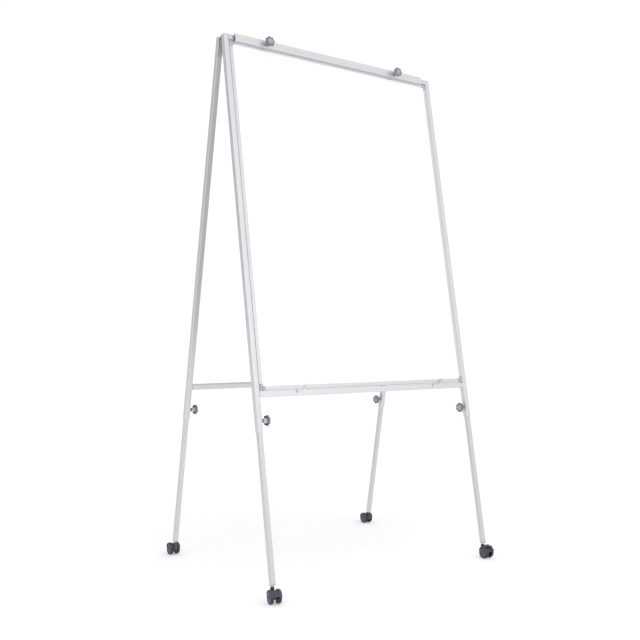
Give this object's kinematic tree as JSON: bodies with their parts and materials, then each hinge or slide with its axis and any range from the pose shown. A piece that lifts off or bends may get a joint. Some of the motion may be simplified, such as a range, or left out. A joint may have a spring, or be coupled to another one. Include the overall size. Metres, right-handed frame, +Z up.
{
  "type": "mobile flip chart easel",
  "caption": "A-frame easel with a framed white dry-wipe board, a paper clamp bar on top, telescopic legs held by star knobs and swivel castors.",
  "frame": {"origin": "on the floor, centre of the bounding box in plan, midway between the four feet", "axes": "+Z up, +X towards the right of someone facing the board, the board faces -Y and leans back towards +Y at the top"},
  "size_m": [0.9726, 0.7584, 1.8651],
  "materials": {
    "aluminium": "satin anodised",
    "trim": "satin anodised",
    "white_sheet": "gloss white enamel",
    "board_core": "fibreboard",
    "back_sheet": "mill finish grey",
    "grey_plastic": "satin moulded",
    "knob_plastic": "satin moulded",
    "plug_plastic": "satin moulded",
    "castor_nylon": "satin moulded",
    "castor_wheel": "satin moulded",
    "steel": "zinc plated"
  },
  "bodies": {
    "front_frame": {"front_leg_tube_left": "aluminium", "front_leg_tube_right": "aluminium", "front_leg_cap_left": "plug_plastic", "front_leg_cap_right": "plug_plastic", "front_top_rail": "aluminium", "front_bottom_rail": "aluminium", "board_face_sheet": "white_sheet", "board_core": "board_core", "board_back_sheet": "back_sheet", "board_trim_top": "trim", "board_trim_bottom": "trim", "board_trim_left": "trim", "board_trim_right": "trim", "board_corner_top_left": "grey_plastic", "board_corner_top_right": "grey_plastic", "board_corner_bottom_left": "grey_plastic", "board_corner_bottom_right": "grey_plastic", "hinge_front_leaf_left": "steel", "hinge_front_leaf_right": "steel", "turn_clip_screw_left": "steel", "turn_clip_screw_right": "steel"},
    "rear_frame": {"rear_leg_tube_left": "aluminium", "rear_leg_tube_right": "aluminium", "rear_leg_cap_left": "plug_plastic", "rear_leg_cap_right": "plug_plastic", "rear_cross_rail": "aluminium", "hinge_rear_leaf_left": "steel", "hinge_rear_leaf_right": "steel", "hinge_pin_left": "steel", "hinge_pin_right": "steel"},
    "paper_clamp": {"paper_clamp_bar": "aluminium"},
    "clamp_knob_left": {"clamp_knob_left": "knob_plastic"},
    "clamp_knob_right": {"clamp_knob_right": "knob_plastic"},
    "turn_clip_left": {"board_turn_clip_left": "steel"},
    "turn_clip_right": {"board_turn_clip_right": "steel"},
    "front_leg_left": {"front_inner_leg_left": "aluminium", "front_leg_plug_left": "plug_plastic"},
    "front_leg_knob_left": {"front_leg_knob_left": "knob_plastic"},
    "front_castor_left": {"front_castor_housing_left": "castor_nylon"},
    "front_castor_left_wheel_a": {"front_castor_wheel_left_a": "castor_wheel"},
    "front_castor_left_wheel_b": {"front_castor_wheel_left_b": "castor_wheel"},
    "front_leg_right": {"front_inner_leg_right": "aluminium", "front_leg_plug_right": "plug_plastic"},
    "front_leg_knob_right": {"front_leg_knob_right": "knob_plastic"},
    "front_castor_right": {"front_castor_housing_right": "castor_nylon"},
    "front_castor_right_wheel_a": {"front_castor_wheel_right_a": "castor_wheel"},
    "front_castor_right_wheel_b": {"front_castor_wheel_right_b": "castor_wheel"},
    "castor_brake_lever": {"front_castor_brake_lever_right": "castor_nylon"},
    "rear_leg_left": {"rear_inner_leg_left": "aluminium", "rear_leg_plug_left": "plug_plastic"},
    "rear_leg_knob_left": {"rear_leg_knob_left": "knob_plastic"},
    "rear_castor_left": {"rear_castor_housing_left": "castor_nylon"},
    "rear_castor_left_wheel_a": {"rear_castor_wheel_left_a": "castor_wheel"},
    "rear_castor_left_wheel_b": {"rear_castor_wheel_left_b": "castor_wheel"},
    "rear_leg_right": {"rear_inner_leg_right": "aluminium", "rear_leg_plug_right": "plug_plastic"},
    "rear_leg_knob_right": {"rear_leg_knob_right": "knob_plastic"},
    "rear_castor_right": {"rear_castor_housing_right": "castor_nylon"},
    "rear_castor_right_wheel_a": {"rear_castor_wheel_right_a": "castor_wheel"},
    "rear_castor_right_wheel_b": {"rear_castor_wheel_right_b": "castor_wheel"}
  },
  "joints": [
    {"name": "rear_frame_fold", "type": "hinge", "parent": "front_frame", "child": "rear_frame", "pos_m": [0, 0, 1.8295], "axis": [-1, 0, 0], "range_deg": [0, 15]},
    {"name": "paper_clamp_slide", "type": "slide", "parent": "front_frame", "child": "paper_clamp", "axis": [0, -0.9843, 0.1762], "range_m": [0, 0.006]},
    {"name": "clamp_knob_left_turn", "type": "hinge", "parent": "paper_clamp", "child": "clamp_knob_left", "pos_m": [-0.3065, -0.03801, 1.84366], "axis": [0, -0.9843, 0.1762], "range_deg": [0, 2160.5]},
    {"name": "clamp_knob_right_turn", "type": "hinge", "parent": "paper_clamp", "child": "clamp_knob_right", "pos_m": [0.2815, -0.03801, 1.84366], "axis": [0, -0.9843, 0.1762], "range_deg": [0, 2160.5]},
    {"name": "turn_clip_left_turn", "type": "hinge", "parent": "front_frame", "child": "turn_clip_left", "pos_m": [-0.3095, -0.24353, 0.63892], "axis": [0, -0.9843, 0.1762], "range_deg": [-95, 0]},
    {"name": "turn_clip_right_turn", "type": "hinge", "parent": "front_frame", "child": "turn_clip_right", "pos_m": [0.298, -0.24353, 0.63892], "axis": [0, -0.9843, 0.1762], "range_deg": [-95, 0]},
    {"name": "front_leg_left_slide", "type": "slide", "parent": "front_frame", "child": "front_leg_left", "axis": [0, 0.1762, 0.9843], "range_m": [0, 0.38]},
    {"name": "front_leg_knob_left_turn", "type": "hinge", "parent": "front_frame", "child": "front_leg_knob_left", "pos_m": [-0.4535, -0.24886, 0.54956], "axis": [1, 0, 0], "range_deg": [0, 720]},
    {"name": "front_castor_left_swivel", "type": "hinge", "parent": "front_leg_left", "child": "front_castor_left", "pos_m": [-0.463, -0.33609, 0.047], "axis": [0, 0, 1], "continuous": true},
    {"name": "front_castor_left_wheel_a_spin", "type": "hinge", "parent": "front_castor_left", "child": "front_castor_left_wheel_a", "pos_m": [-0.46695, -0.35467, 0.0205], "axis": [0.9781, -0.2079, 0], "continuous": true},
    {"name": "front_castor_left_wheel_b_spin", "type": "hinge", "parent": "front_castor_left", "child": "front_castor_left_wheel_b", "pos_m": [-0.46695, -0.35467, 0.0205], "axis": [0.9781, -0.2079, 0], "continuous": true},
    {"name": "front_leg_right_slide", "type": "slide", "parent": "front_frame", "child": "front_leg_right", "axis": [0, 0.1762, 0.9843], "range_m": [0, 0.38]},
    {"name": "front_leg_knob_right_turn", "type": "hinge", "parent": "front_frame", "child": "front_leg_knob_right", "pos_m": [0.4535, -0.24886, 0.54956], "axis": [-1, 0, 0], "range_deg": [0, 720]},
    {"name": "front_castor_right_swivel", "type": "hinge", "parent": "front_leg_right", "child": "front_castor_right", "pos_m": [0.463, -0.33609, 0.047], "axis": [0, 0, 1], "continuous": true},
    {"name": "front_castor_right_wheel_a_spin", "type": "hinge", "parent": "front_castor_right", "child": "front_castor_right_wheel_a", "pos_m": [0.463, -0.35508, 0.0205], "axis": [1, 0, 0], "continuous": true},
    {"name": "front_castor_right_wheel_b_spin", "type": "hinge", "parent": "front_castor_right", "child": "front_castor_right_wheel_b", "pos_m": [0.463, -0.35508, 0.0205], "axis": [1, 0, 0], "continuous": true},
    {"name": "castor_brake_lever_tilt", "type": "hinge", "parent": "front_castor_right", "child": "castor_brake_lever", "pos_m": [0.463, -0.35408, 0.0461], "axis": [1, 0, 0], "range_deg": [0, 5]},
    {"name": "rear_leg_left_slide", "type": "slide", "parent": "rear_frame", "child": "rear_leg_left", "axis": [0, -0.1762, 0.9843], "range_m": [0, 0.38]},
    {"name": "rear_leg_knob_left_turn", "type": "hinge", "parent": "rear_frame", "child": "rear_leg_knob_left", "pos_m": [-0.4535, 0.24932, 0.547], "axis": [1, 0, 0], "range_deg": [0, 720]},
    {"name": "rear_castor_left_swivel", "type": "hinge", "parent": "rear_leg_left", "child": "rear_castor_left", "pos_m": [-0.463, 0.33609, 0.047], "axis": [0, 0, 1], "continuous": true},
    {"name": "rear_castor_left_wheel_a_spin", "type": "hinge", "parent": "rear_castor_left", "child": "rear_castor_left_wheel_a", "pos_m": [-0.463, 0.35508, 0.0205], "axis": [-1, 0, 0], "continuous": true},
    {"name": "rear_castor_left_wheel_b_spin", "type": "hinge", "parent": "rear_castor_left", "child": "rear_castor_left_wheel_b", "pos_m": [-0.463, 0.35508, 0.0205], "axis": [-1, 0, 0], "continuous": true},
    {"name": "rear_leg_right_slide", "type": "slide", "parent": "rear_frame", "child": "rear_leg_right", "axis": [0, -0.1762, 0.9843], "range_m": [0, 0.38]},
    {"name": "rear_leg_knob_right_turn", "type": "hinge", "parent": "rear_frame", "child": "rear_leg_knob_right", "pos_m": [0.4535, 0.24932, 0.547], "axis": [-1, 0, 0], "range_deg": [0, 720]},
    {"name": "rear_castor_right_swivel", "type": "hinge", "parent": "rear_leg_right", "child": "rear_castor_right", "pos_m": [0.463, 0.33609, 0.047], "axis": [0, 0, 1], "continuous": true},
    {"name": "rear_castor_right_wheel_a_spin", "type": "hinge", "parent": "rear_castor_right", "child": "rear_castor_right_wheel_a", "pos_m": [0.463, 0.35508, 0.0205], "axis": [-1, 0, 0], "continuous": true},
    {"name": "rear_castor_right_wheel_b_spin", "type": "hinge", "parent": "rear_castor_right", "child": "rear_castor_right_wheel_b", "pos_m": [0.463, 0.35508, 0.0205], "axis": [-1, 0, 0], "continuous": true}
  ],
  "couplings": [
    {"joint": "clamp_knob_left_turn", "follows": "paper_clamp_slide", "rad_per_m": 6283.2},
    {"joint": "clamp_knob_right_turn", "follows": "paper_clamp_slide", "rad_per_m": 6283.2}
  ]
}
